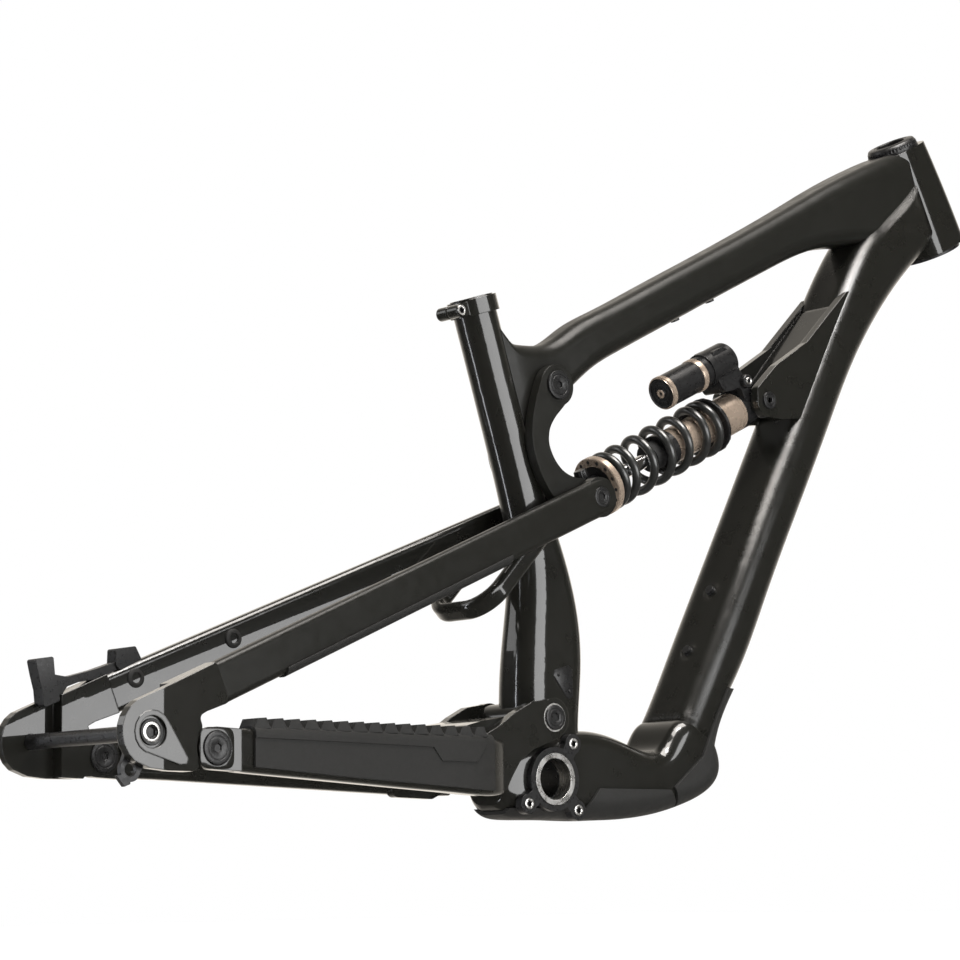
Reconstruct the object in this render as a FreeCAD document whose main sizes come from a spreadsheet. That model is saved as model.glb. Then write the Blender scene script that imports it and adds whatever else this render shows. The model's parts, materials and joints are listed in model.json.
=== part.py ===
import FreeCAD, Part
import Sketcher
import math
import os
import re

# Full-suspension bicycle frame.  Millimetres, +X forward, +Y to the left (non-drive) side, +Z up.
# The origin is the centre of the bottom bracket shell.  Side -1 is the drive side, side +1 the other.

Vector = FreeCAD.Vector
Rotation = FreeCAD.Rotation
Placement = FreeCAD.Placement

DRIVE = -1
NONDRIVE = 1
SIDES = {"drive": DRIVE, "nondrive": NONDRIVE}

SIZES = {
    # points of the side view
    "main_pivot_x": -8, "main_pivot_z": 51,
    "rear_pivot_x": -385, "rear_pivot_z": 15.5,
    "axle_x": -444, "axle_z": 26,
    "link_low_x": 55, "link_low_z": 243,
    "link_top_x": 16, "link_top_z": 338.5,
    "shock_front_x": 280.3, "shock_front_z": 351.5,
    "head_bottom_x": 549, "head_bottom_z": 532.3,
    "head_top_x": 499.6, "head_top_z": 626.2,
    "seat_top_x": -56, "seat_top_z": 411,
    "seat_angle": 107.97,
    # shell faces and bores
    "shell_half_width": 36.5, "shell_radius": 22, "shell_bore": 17.4,
    "housing_half_width": 30, "boss_radius": 26,
    "seatpost_bore": 15.8, "seat_tube_radius": 18.75, "seatpost_depth": 230,
    "head_upper_bore": 22, "head_lower_bore": 28, "head_core_bore": 18.5,
    "upper_bore_depth": 14, "lower_bore_depth": 15,
    "steerer_upper": 14.3, "steerer_lower": 20,
    # wall of the moulded tubes and of the bonded guards
    "tube_wall": 3, "guard_wall": 3,
    # chain guide tabs
    "tab_circle": 36.6, "tab_radius": 8.5, "tab_insert_radius": 4.5, "tab_thread_radius": 2.5,
    # main pivot
    "main_boss_radius": 15, "main_boss_face": 36.4, "main_lug_radius": 16.5,
    "main_lug_inner": 36.8, "main_lug_outer": 45, "main_axle_radius": 7.5,
    "main_bearing_radius": 12, "main_head_radius": 10.5,
    # rear pivots and dropouts
    "rear_lug_radius": 16, "rear_lug_inner": 74.4, "rear_lug_outer": 84.4,
    "rear_tongue_radius": 15, "rear_tongue_inner": 66, "rear_tongue_outer": 74,
    "rear_bolt_radius": 5, "rear_bearing_radius": 9.5, "rear_head_radius": 12.5,
    "dropout_inner": 78, "dropout_outer": 86, "dropout_hole": 9,
    "axle_radius": 6, "hub_half_width": 74,
    # rocker
    "rocker_inner": 20.5, "rocker_outer": 30, "rocker_eye_radius": 18, "rocker_end_radius": 16,
    "rocker_bearing_radius": 12, "link_axle_radius": 6, "link_head_radius": 12.5,
    "link_bolt_radius": 5, "running_gap": 0.05,
    # seatstay front ends, with room for the link bolt to wander in the opened pivot
    "stay_boss_radius": 17.5, "stay_boss_inner": 30.5, "stay_boss_outer": 40.4,
    "stay_cap_inner": 41, "stay_cap_outer": 42.6, "stay_cap_radius": 9,
    "pocket_radius": 13.6, "pocket_floor": 39.5,
    # shock, measured along its own axis from the rear eye
    "shock_length": 250, "eye_radius": 13, "eye_half_width": 11, "eye_pin_radius": 6,
    "shock_pin_half": 20.1, "ear_inner": 20.4, "shaft_radius": 6.35, "retainer_at": 37, "retainer_radius": 27,
    "retainer_thick": 7, "seal_at": 119, "seal_end": 134, "seal_radius": 17, "cylinder_radius": 16,
    "cylinder_bore": 13, "cylinder_end": 230, "collar_at": 192,
    "collar_radius": 18.5, "flange_radius": 26, "flange_thick": 4, "piston_at": 150,
    "bump_radius": 13, "bump_length": 11.5,
    "reservoir_at": 146, "reservoir_end": 204, "reservoir_rise": 48, "reservoir_radius": 15.5,
    "reservoir_side": -5, "wire_radius": 3.9, "coil_radius": 22.6, "coil_turns": 6,
}

# Lofted tubes: each station is the centre, the direction of the tube in degrees above +X,
# the depth across the tube in the side view, the width along Y and the corner radius.
STATIONS = {
    "housing": [
        (-46, 0, -4, 0, 34, 44, 15),
        (-20, 0, 1, 0, 62, 60, 16),
        (20, 0, 5, 0, 70, 60, 16),
        (45, 0, 6, 0, 73, 61, 16),
        (70, 0, 5, 0, 71, 63, 16),
        (110, 0, 1, 4, 57, 65, 16),
        (147.5, 0, 5.5, 29, 52, 66, 15),
        (179, 0, 43, 58, 44, 66, 14),
    ],
    "seat": [
        (16, 0, 20, 90, 70, 50, 20),
        (17, 0, 90, 91, 71, 50, 20),
        (19, 0, 140, 93, 65, 46, 19),
        (13, 0, 192, 102, 50, 41, 18.6),
        (-1, 0, 241, 107.97, 40, 38.5, 18.9),
        (-13.3, 0, 279, 107.97, 38, 38, 18.8),
        (-28.8, 0, 326.6, 107.97, 37.5, 37.5, 18.7),
        (-44.2, 0, 374.2, 107.97, 37.5, 37.5, 18.7),
        (-56, 0, 411, 107.97, 37.5, 37.5, 18.7),
    ],
    "top": [
        (-26.1, 0, 319, 17.97, 159.5, 33, 12),
        (-16, 0, 320.2, 17.97, 147.5, 34, 12),
        (-7.7, 0, 320.2, 17.97, 121.5, 36, 12),
        (-0.6, 0, 331, 17.97, 90.5, 37, 12.5),
        (8.6, 0, 344.9, 18.5, 62.5, 37, 13),
        (26, 0, 354, 22, 50, 37, 13),
        (62, 0, 379, 25.5, 43, 40, 13.5),
        (100, 0, 400, 27, 41, 42, 14),
        (160, 0, 430.7, 27, 41, 43, 14),
        (225, 0, 464, 27, 41, 44, 14),
        (290, 0, 497.3, 27, 42, 46, 14),
        (350, 0, 527, 27, 47, 48, 14),
        (390, 0, 543, 27, 58, 51, 14),
        (430, 0, 556, 27, 72, 54, 14),
        (470, 0, 568.5, 27.5, 84, 55, 14),
        (515, 0, 582, 28, 92, 56, 14),
    ],
    "down": [
        (178, 0, 40, 61.2, 45, 66, 14),
        (215, 0, 107, 61.2, 43, 66, 14),
        (257.4, 0, 184, 61.2, 43, 66, 14),
        (300, 0, 261.4, 61.2, 43, 66, 14),
        (342.5, 0, 338.6, 61.2, 43.5, 66, 14),
        (384, 0, 413, 60.5, 45.5, 65, 14),
        (411, 0, 455, 58, 51, 64, 14),
        (436, 0, 489, 55, 58, 62, 14),
        (476, 0, 532, 51, 65, 59, 14),
        (520, 0, 575, 50, 70, 56, 14),
    ],
    "head": [
        (549, 0, 532.3, 117.75, 58, 62, 16),
        (524.3, 0, 579.25, 117.75, 55, 60, 15),
        (499.6, 0, 626.2, 117.75, 52, 55, 15),
    ],
    "stay": [
        (76, 34.2, 251.7, 22.4, 32.4, 12, 5),
        (48, 36.6, 240.1, 22.4, 32.4, 12, 5),
        (-160, 55, 154.2, 22.4, 32.4, 13, 5),
        (-376, 73, 65, 22.4, 32.4, 14, 5),
    ],
    "chain_drive": [
        (-366, 75.4, 14.5, 0, 32, 18, 5),
        (-300, 69, 13.5, 0, 37, 19, 5),
        (-240, 63, 12, 0, 40.2, 19, 5),
        (-165, 55.5, 10.2, 0, 44.3, 19, 5),
        (-97, 48.5, 8.5, 0, 48, 19, 5),
        (-82, 46.3, 8.3, 0, 47.5, 15.5, 5),
        (-68, 43, 8, 0, 44, 10, 3.5),
    ],
    "chain_plain": [
        (-366, 75.4, 15, 0, 32, 18, 5),
        (-300, 69, 12, 0, 30, 17, 5),
        (-240, 63, 10.2, 0, 31.8, 17, 5),
        (-165, 55.5, 8, 0, 34, 17, 5),
        (-95, 48.5, 6, 0, 36, 17, 5),
        (-52, 46.8, 8, 0, 40, 18, 5),
    ],
}
STATION_FIELDS = ("x", "y", "z", "angle", "depth", "width", "round")

# Outlines of flat moulded parts in the side view, as corners (x, z).
ELBOW = [(-118, -14), (-118, 32), (-86, 34.5), (-69, 43), (-52, 54), (-34, 63), (-16, 66), (8, 58), (6, 42),
         (-4, 33), (-16, 29.5), (-33, 23.5), (-46.5, 14.5), (-55.5, 2), (-62.5, -10), (-74, -15.3)]
ROCKER = [(-1, 347), (-8, 328), (-13, 310), (-15, 291), (-11, 273), (-3, 256), (9, 240), (30, 228),
          (58, 230), (68, 248), (50, 259.3), (33, 259.3), (20, 264), (10, 274), (4, 287), (5.5, 300),
          (12, 310), (22, 320), (30, 329), (34, 340), (24, 354), (8, 355)]
STAY_FRONT = [(-399.5, 39), (-393, 42.5), (-370.2, 50.2)]
DROPOUT_FOOT = [(-404, -2), (-400, 2), (-400, 26), (-396.5, 31)]
TEARDROP_TAIL = [(-420, 2.5), (-414, 3), (-412.5, 7)]
REAR_POST = [(-447.8, 89.6), (-431.5, 92.1), (-430, 78), (-426.5, 70), (-425, 58), (-440, 52), (-441.5, 66),
             (-445, 78)]
FRONT_POST = [(-373.5, 88), (-373, 100.8), (-355, 103.5), (-349, 93), (-352, 86), (-366, 80)]
POST_ARM = [(-436, 79), (-417.6, 77), (-393.5, 83.4), (-368, 92), (-362, 84), (-382, 77.8), (-407.4, 73),
            (-417.6, 69.3), (-424, 60), (-434, 60)]
POST_TOPS = [(-438.6, 91), (-365.2, 102)]
POST_DEPTH = 11
SHOCK_ELBOW = [(209, 30), (206, 52), (214, 63), (228, 62.5), (238, 52), (238.5, 36), (243, 24), (244, 6),
               (232.5, 6), (232.5, 22), (222, 22), (211, 24)]
HANGER_EYE = (-458, -1.5)
TAB_ANGLES = (54.8, 214.8, 314.8)

doc = FreeCAD.newDocument("bicycle_frame")
sheet = doc.addObject("Spreadsheet::Sheet", "sizes")
nodes = []


def fill_sheet():
    """Write every driving dimension to the sheet as a plain number with an alias."""
    rows = dict(SIZES)
    for tube, stations in STATIONS.items():
        for index, station in enumerate(stations):
            for field, value in zip(STATION_FIELDS, station):
                rows[f"{tube}_{field}_no{index}"] = value
    for row, (alias, value) in enumerate(rows.items(), start=1):
        sheet.set(f"A{row}", alias.replace("_", " "))
        sheet.set(f"B{row}", str(value))
        sheet.setAlias(f"B{row}", alias)
    doc.recompute()


def size(alias):
    return float(sheet.get(alias))


def point(name, y=0.0):
    return Vector(size(name + "_x"), y, size(name + "_z"))


def cells(text):
    """Turn words such as 'eye_radius - 2' into references to the sheet."""
    return re.sub(r"[a-z][a-z0-9_]*", lambda word: "sizes." + word.group(), text)


def worth(text):
    """The number a sheet expression comes to."""
    return float(sheet.evalExpression(cells(text)))


def bind(item, **expressions):
    for prop, text in expressions.items():
        item.setExpression(prop, cells(text))


def origin_plane(body, role):
    return next(item for item in body.Origin.OriginFeatures if item.Role == role)


def new_body(name):
    return doc.addObject("PartDesign::Body", name)


def sketch_on(body, role, name, offset=Placement()):
    sketch = body.newObject("Sketcher::SketchObject", name)
    sketch.AttachmentSupport = (origin_plane(body, role), [""])
    sketch.MapMode = "FlatFace"
    sketch.AttachmentOffset = offset
    return sketch


def rounded_rectangle(sketch, across, up, corner):
    """Eight edges round the sketch's origin; across, up and corner are sheet expressions."""
    wide, tall, bend = worth(across) / 2, worth(up) / 2, worth(corner)
    turns = [(1, 1, 0), (-1, 1, 90), (-1, -1, 180), (1, -1, 270)]
    for sx, sy, start in turns:
        centre = Vector(sx * (wide - bend), sy * (tall - bend), 0)
        circle = Part.Circle(centre, Vector(0, 0, 1), bend)
        first = math.radians(start)
        sketch.addGeometry(Part.ArcOfCircle(circle, first, first + math.pi / 2), False)
    ends = [((wide - bend, tall), (bend - wide, tall)), ((-wide, tall - bend), (-wide, bend - tall)),
            ((bend - wide, -tall), (wide - bend, -tall)), ((wide, bend - tall), (wide, tall - bend))]
    for first, last in ends:
        line = Part.LineSegment(Vector(*first, 0), Vector(*last, 0))
        sketch.addGeometry(line, False)
    rule = Sketcher.Constraint
    for arc in range(4):
        sketch.addConstraint(rule("Tangent", arc, 2, 4 + arc, 1))
        sketch.addConstraint(rule("Tangent", 4 + arc, 2, (arc + 1) % 4, 1))
    for arc in range(1, 4):
        sketch.addConstraint(rule("Equal", 0, arc))
    sketch.addConstraint(rule("Horizontal", 4))
    sketch.addConstraint(rule("Symmetric", 0, 3, 2, 3, -1, 1))
    radius = sketch.addConstraint(rule("Radius", 0, bend))
    width = sketch.addConstraint(rule("DistanceX", 1, 3, 0, 3, 2 * (wide - bend)))
    height = sketch.addConstraint(rule("DistanceY", 3, 3, 0, 3, 2 * (tall - bend)))
    sketch.setExpression(f"Constraints[{radius}]", cells(corner))
    sketch.setExpression(f"Constraints[{width}]", cells(f"{across} - 2 * ({corner})"))
    sketch.setExpression(f"Constraints[{height}]", cells(f"{up} - 2 * ({corner})"))


def loft(name, tube, side=NONDRIVE, grow="0"):
    """A solid through the tube's stations; grow adds that much to every side of each section."""
    body = new_body(name)
    sections = []
    for index, station in enumerate(STATIONS[tube]):
        x, y, z, angle = (size(f"{tube}_{field}_no{index}") for field in STATION_FIELDS[:4])
        offset = Placement(Vector(side * y, z, x), Rotation(Vector(1, 0, 0), -angle))
        sketch = sketch_on(body, "YZ_Plane", f"{name}_section{index}", offset)
        corner = f"{tube}_round_no{index} + ({grow})"
        rounded_rectangle(sketch, f"{tube}_width_no{index} + 2 * ({grow})",
                          f"{tube}_depth_no{index} + 2 * ({grow})", corner)
        sections.append(sketch)
    doc.recompute()
    skin = body.newObject("PartDesign::AdditiveLoft", name + "_skin")
    skin.Profile = sections[0]
    skin.Sections = [(sketch, [""]) for sketch in sections[1:]]
    skin.Ruled = False
    body.Tip = skin
    doc.recompute()
    return body


def plate(name, outline, low, high, corner=0.0):
    """A flat plate of the outline (x, z) between y = low and y = high, corners rounded."""
    body = new_body(name)
    sketch = sketch_on(body, "XZ_Plane", name + "_outline")
    for edge in rounded_outline(outline, corner):
        sketch.addGeometry(edge, False)
    pad = body.newObject("PartDesign::Pad", name + "_pad")
    pad.Profile = sketch
    pad.Length = abs(high - low)
    pad.Reversed = True
    body.Tip = pad
    body.Placement = Placement(Vector(0, min(low, high), 0), Rotation())
    doc.recompute()
    return body


def rounded_outline(points, corner):
    """Lines of the closed outline, joined by arcs of the corner radius where it is not zero."""
    count = len(points)
    corners = []
    for index in range(count):
        here = Vector(*points[index], 0)
        before = Vector(*points[index - 1], 0) - here
        after = Vector(*points[(index + 1) % count], 0) - here
        half = before.getAngle(after) / 2
        reach = min(corner / math.tan(half), 0.45 * min(before.Length, after.Length))
        first = here + before.normalize() * reach
        last = here + after.normalize() * reach
        radius = reach * math.tan(half)
        bisector = (before + after).normalize()
        middle = here + bisector * (radius / math.sin(half) - radius)
        corners.append((first, middle, last))
    edges = []
    for index, (first, middle, last) in enumerate(corners):
        if corner:
            edges.append(Part.Arc(first, middle, last))
        following = corners[(index + 1) % count][0]
        if (following - last).Length > 1e-6:
            edges.append(Part.LineSegment(last, following))
    return edges


def along_y(x, y, z):
    return Placement(Vector(x, y, z), Rotation(Vector(1, 0, 0), -90))


def along(start, direction):
    return Placement(start, Rotation(Vector(0, 0, 1), direction))


def cylinder(name, radius, length, place):
    item = doc.addObject("Part::Cylinder", name)
    bind(item, Radius=radius, Height=length)
    item.Placement = place
    return item


def pin(name, where, low, high, radius):
    """A cylinder along Y at the point, from y = low to y = high, which are numbers."""
    item = doc.addObject("Part::Cylinder", name)
    bind(item, Radius=radius)
    item.Height = abs(high - low)
    item.Placement = along_y(where.x, min(low, high), where.z)
    return item


def box(name, length, width, height, place):
    item = doc.addObject("Part::Box", name)
    item.Length, item.Width, item.Height = length, width, height
    item.Placement = place
    return item


def fuse(name, *shapes):
    item = doc.addObject("Part::MultiFuse", name)
    item.Shapes = list(shapes)
    item.Refine = False
    doc.recompute()
    return item


def cut(name, base, *tools):
    """The base less each tool in turn."""
    item = base
    for index, tool in enumerate(tools, start=1):
        whole = item
        item = doc.addObject("Part::Cut", name if index == len(tools) else f"{name}_step{index}")
        item.Base = whole
        item.Tool = tool
    doc.recompute()
    return item


def common(name, base, tool):
    item = doc.addObject("Part::Common", name)
    item.Base = base
    item.Tool = tool
    doc.recompute()
    return item


def group(name, *shapes):
    """Identical pieces that stay separate solids in one node."""
    item = doc.addObject("Part::Compound", name)
    item.Links = list(shapes)
    doc.recompute()
    return item


def node(item, label):
    doc.recompute()
    item.Label = label
    nodes.append(item)
    return item


def bolt(name, where, seat, side, head, head_length, shank, shank_length, key=0.0):
    """A bolt along Y: its head lies outside y = seat on the given side, its shank inside."""
    tip = seat - side * shank_length
    top = seat + side * head_length
    body = fuse(name + "_solid", pin(name + "_shank", where, tip, seat, shank),
                pin(name + "_head", where, seat, top, head))
    if not key:
        return body
    socket = doc.addObject("Part::Prism", name + "_socket")
    socket.Polygon = 6
    socket.Circumradius = key
    socket.Height = head_length
    socket.Placement = along_y(where.x, min(top, top - side * head_length), where.z)
    return cut(name + "_keyed", body, socket)


def ring(name, where, low, high, outer, inner):
    """A tube along Y between two y values."""
    return cut(name, pin(name + "_outside", where, low, high, outer),
               pin(name + "_inside", where, low, high, inner))


def tube(name, start, direction, outer, inner, length):
    """A tube along any direction, with sizes given as sheet expressions."""
    place = along(start, direction)
    return cut(name, cylinder(name + "_outside", outer, length, place),
               cylinder(name + "_inside", inner, length, place))


fill_sheet()
ORIGIN = Vector(0, 0, 0)
UP = Vector(0, 0, 1)
main_pivot = point("main_pivot")
rear_pivot = point("rear_pivot")
axle = point("axle")
link_low = point("link_low")
link_top = point("link_top")
shock_front = point("shock_front")
head_bottom = point("head_bottom")
head_top = point("head_top")
seat_top = point("seat_top")
head_axis = (head_top - head_bottom).normalize()
seat_axis = Vector(math.cos(math.radians(size("seat_angle"))), 0,
                   math.sin(math.radians(size("seat_angle"))))
shock_axis = (shock_front - link_low).normalize()
shock_rise = Vector(-shock_axis.z, 0, shock_axis.x)


def on_shock(distance, rise=0.0, side=0.0):
    return link_low + shock_axis * distance + shock_rise * rise + Vector(0, side, 0)


# ---------------------------------------------------------------- front triangle
def front_triangle():
    housing = loft("housing_skin", "housing")
    seat = loft("seat_skin", "seat")
    top = loft("top_skin", "top")
    down = loft("down_skin", "down")
    head = loft("head_skin", "head")
    shell_bore = pin("shell_bore", ORIGIN, -50, 50, "shell_radius")
    boss = pin("nondrive_boss", ORIGIN, 20, 36, "boss_radius")
    pivot_hole = pin("main_axle_hole", main_pivot, -60, 60, "main_axle_radius")
    node(cut("housing", fuse("housing_solid", housing, boss), shell_bore),
         "bottom_bracket_housing")

    pivot_boss = pin("main_pivot_boss", main_pivot, -size("main_boss_face"),
                     size("main_boss_face"), "main_boss_radius")
    post_bore = cylinder("seatpost_hole", "seatpost_bore", "seatpost_depth",
                         along(seat_top + seat_axis * 5, seat_axis * -1))
    node(cut("seat_tube_cut", fuse("seat_solid", seat, pivot_boss), housing, post_bore, pivot_hole),
         "seat_tube")

    link_hole = pin("link_axle_hole", link_top, -40, 40, "link_axle_radius")
    hollow_top = loft("top_hollow", "top", grow="0 - tube_wall")
    around_pivot = pin("link_pivot_core", link_top, -20, 20, "link_axle_radius + 8")
    cavity = cut("top_cavity", hollow_top, around_pivot)
    holes = frame_screws()
    crown = cylinder("headset_room", "32", "40", along(head_top - head_axis * 0.5, head_axis))
    node(cut("top_tube_cut", top, cavity, seat, head, link_hole, crown, *holes["top"]), "top_tube")

    hollow_down = loft("down_hollow", "down", grow="0 - tube_wall")
    node(cut("down_tube_cut", down, hollow_down, housing, head, top, *holes["down"]), "down_tube")

    bores = [
        cylinder("head_core", "head_core_bore", "160", along(head_bottom - head_axis * 20, head_axis)),
        cylinder("head_upper", "head_upper_bore", "upper_bore_depth + 20",
                 along(head_top + head_axis * 20, head_axis * -1)),
        cylinder("head_lower", "head_lower_bore", "lower_bore_depth + 20",
                 along(head_bottom - head_axis * 20, head_axis)),
    ]
    node(cut("head_tube_cut", head, *bores), "head_tube")

    ear = [(266, 344), (266, 362), (292, 386), (334, 412), (396, 472), (404, 456), (352, 352),
           (330, 340), (300, 336), (276, 336)]
    web = [(314, 350), (308, 376), (334, 404), (396, 470), (404, 454), (350, 350)]
    inner = size("ear_inner")
    parts = [plate("shock_web", web, -inner, inner, 4)]
    for word, side in SIDES.items():
        parts.append(plate("shock_ear_" + word, ear, side * inner, side * 29, 9))
    bolt_hole = pin("shock_bolt_hole", shock_front, -40, 40, "4")
    node(cut("shock_mount_cut", fuse("shock_mount_solid", *parts), down, bolt_hole), "shock_mount")

    chain_guide_mount(housing)
    node(ring("sleeve", ORIGIN, -size("shell_half_width"), size("shell_half_width"),
              "shell_radius", "shell_bore"), "bottom_bracket_sleeve")
    guards(housing, down)


def tab_points():
    for degrees in TAB_ANGLES:
        turn = math.radians(degrees)
        yield degrees, Vector(math.cos(turn), 0, math.sin(turn)) * size("tab_circle")


def chain_guide_mount(housing):
    """The three-lobed plate round the shell's drive face, and its threaded inserts."""
    low, seat, high = -36, -30, -28.5
    lobes = [pin("tab_ring", ORIGIN, low, high, "shell_radius + 5")]
    holes = [pin("tab_bore", ORIGIN, low, high, "shell_radius")]
    inserts = []
    for index, (degrees, centre) in enumerate(tab_points()):
        lobes.append(pin(f"tab{index}", centre, low, high, "tab_radius"))
        turn = Rotation(Vector(0, 1, 0), -degrees)
        place = Placement(turn.multVec(Vector(0, 0, -7)) + Vector(0, low, 0), turn)
        lobes.append(box(f"tab_arm{index}", size("tab_circle"), high - low, 14, place))
        holes.append(pin(f"tab_hole{index}", centre, low, high, "tab_insert_radius"))
        inserts.append(ring(f"insert{index}", centre, low - 0.4, seat, "tab_insert_radius",
                            "tab_thread_radius"))
    blank = fuse("tab_blank", *lobes)
    node(cut("tab_plate", blank, *holes, housing), "chain_guide_mount")
    node(group("tab_inserts", *inserts), "chain_guide_inserts")


def guards(housing, down):
    """Bonded rubber guards: shells around the lower tubes, kept only inside a region."""
    fat_housing = loft("fat_housing", "housing", grow="guard_wall")
    fat_down = loft("fat_down", "down", grow="guard_wall")
    under = [(-40, -60), (-40, -24), (40, -24), (54, -7), (137, -7), (150, -22), (150, -60)]
    front = [(142, -5), (176, 22), (212, 84), (250, 84), (250, 0), (200, -60), (152, -60),
             (152, -22)]
    tab_blank = doc.getObject("tab_blank")
    boss = doc.getObject("nondrive_boss")
    low = common("under_shell", fat_housing, plate("under_region", under, -60, 60))
    node(cut("under_guard", low, housing, tab_blank, boss), "underside_guard")
    both = fuse("fat_bend", fat_housing, fat_down)
    high = common("front_shell", both, plate("front_region", front, -60, 60))
    node(cut("front_guard", high, housing, down), "down_tube_guard")


def headset():
    upper = head_top
    lower = head_bottom
    down = head_axis * -1
    cup = fuse("upper_cup_solid", tube("upper_cup_wall", upper, down, "head_upper_bore",
                                       "head_upper_bore - 1.5", "10"),
               tube("upper_cup_rim", upper, head_axis, "head_upper_bore + 3.5",
                    "head_upper_bore - 1.5", "2.5"))
    node(cup, "headset_upper_cup")
    node(tube("upper_bearing", upper + down * 1, down, "head_upper_bore - 1.5", "15", "7"),
         "headset_upper_bearing")
    cover = fuse("cover_solid",
                 tube("cover_cap", upper + head_axis * 2.5, head_axis, "head_upper_bore + 3",
                      "steerer_upper", "5.5"),
                 tube("cover_wedge", upper + down * 1, head_axis, "17.5", "steerer_upper", "3.5"))
    node(cover, "headset_top_cover")
    cup = fuse("lower_cup_solid", tube("lower_cup_wall", lower, head_axis, "head_lower_bore",
                                       "head_lower_bore - 2", "12"),
               tube("lower_cup_rim", lower, down, "head_lower_bore + 2.5",
                    "head_lower_bore - 2", "3"))
    node(cup, "headset_lower_cup")
    node(tube("lower_bearing", lower + head_axis * 1, head_axis, "head_lower_bore - 2",
              "steerer_lower", "7"), "headset_lower_bearing")


def seat_clamp():
    back = Vector(-seat_axis.z, 0, seat_axis.x)
    base = seat_top - seat_axis * 15
    height = 14.0
    reach = 31.0
    band = cylinder("clamp_band", "seat_tube_radius + 2.9", "14", along(base, seat_axis))
    turn = Rotation(seat_axis, Vector(0, 1, 0), back, "XYZ")
    lug = box("clamp_lug", height - 2.4, 26, 12,
              Placement(base + seat_axis * 1.2 + back * 14 - Vector(0, 13, 0), turn))
    slit = box("clamp_slit", height + 4, 1.6, reach,
               Placement(base - seat_axis * 2 + back * 12 - Vector(0, 0.8, 0), turn))
    bore = cylinder("clamp_bore", "seat_tube_radius + 0.2", "20", along(base - seat_axis * 2, seat_axis))
    centre = base + seat_axis * (height / 2) + back * 26.2
    nose = pin("clamp_nose", centre, -13, 13, "5.8")
    screw_hole = pin("clamp_screw_hole", centre, -20, 20, "2.6")
    nut_hole = pin("clamp_nut_hole", centre, 8, 20, "4.5")
    head_hole = pin("clamp_head_hole", centre, -20, -8, "4.5")
    node(cut("clamp", fuse("clamp_solid", band, lug, nose), slit, bore, screw_hole, nut_hole, head_hole),
         "seat_clamp_collar")
    node(bolt("clamp_screw", centre, -8, DRIVE, "4.4", 6, "2.5", 22, 2.4), "seat_clamp_bolt")
    node(ring("clamp_nut", centre, 8, 14, "4.4", "2.5"), "seat_clamp_nut")


def along_tube(tube, first, second, share, below):
    """A point on the tube's surface between two stations, and the outward direction there."""
    ends = [Vector(*(size(f"{tube}_{field}_no{n}") for field in "xyz")) for n in (first, second)]
    depth = size(f"{tube}_depth_no{first}") / 2
    run = (ends[1] - ends[0])
    out = Vector(-run.z, 0, run.x).normalize() * (-1 if below else 1)
    return ends[0] + run * share + out * depth, out, run.normalize()


def frame_screws():
    """Bottle cage screws on the down tube and tool mount screws below the top tube."""
    screws = []
    holes = {"down": [], "top": []}
    spacing = 64.0
    for tube, first, share, below in (("down", 1, 0.02, False), ("top", 9, 0.0, True)):
        seat, out, run = along_tube(tube, first, first + 1, share, below)
        for index in range(2):
            spot = seat + run * spacing * (index if tube == "down" else -index * 0.8)
            name = f"{tube}_screw{index}"
            shank = cylinder(name + "_shank", "2.5", "9", along(spot - out * 6, out))
            head = cylinder(name + "_head", "4.2", "2.6", along(spot + out * 0.4, out))
            washer = cylinder(name + "_seat", "5", "0.9", along(spot - out * 0.5, out))
            screws.append(fuse(name, shank, head, washer))
            holes[tube] += [cylinder(name + "_hole", "2.5", "9", along(spot - out * 6, out)),
                            cylinder(name + "_recess", "5", "3", along(spot - out * 0.5, out))]
    node(group("screws", *screws), "frame_boss_screws")
    return holes


def front_pivots():
    node(bolt("front_eye_bolt", shock_front, -29, DRIVE, "8", 2.2, "4", 59, 3), "shock_front_bolt")
    reach = size("rocker_outer") + 0.3
    axle_parts = [pin("link_axle_shaft", link_top, -reach, reach, "link_axle_radius")]
    for word, side in SIDES.items():
        axle_parts.append(pin("link_axle_head_" + word, link_top, side * reach, side * (reach + 2.2),
                              "link_head_radius"))
    socket = pin("link_axle_socket", link_top, -reach - 3, -reach + 2, "3.2")
    node(cut("link_axle", fuse("link_axle_solid", *axle_parts), socket), "link_pivot_axle")
    reach = size("main_lug_outer") + 0.3
    axle_parts = [pin("main_axle_shaft", main_pivot, -reach, reach, "main_axle_radius")]
    for word, side in SIDES.items():
        axle_parts.append(pin("main_axle_head_" + word, main_pivot, side * reach, side * (reach + 1.6),
                              "main_head_radius"))
    socket = pin("main_axle_socket", main_pivot, -reach - 3, -reach + 2, "4")
    node(cut("main_axle", fuse("main_axle_solid", *axle_parts), socket), "main_pivot_axle")


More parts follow.
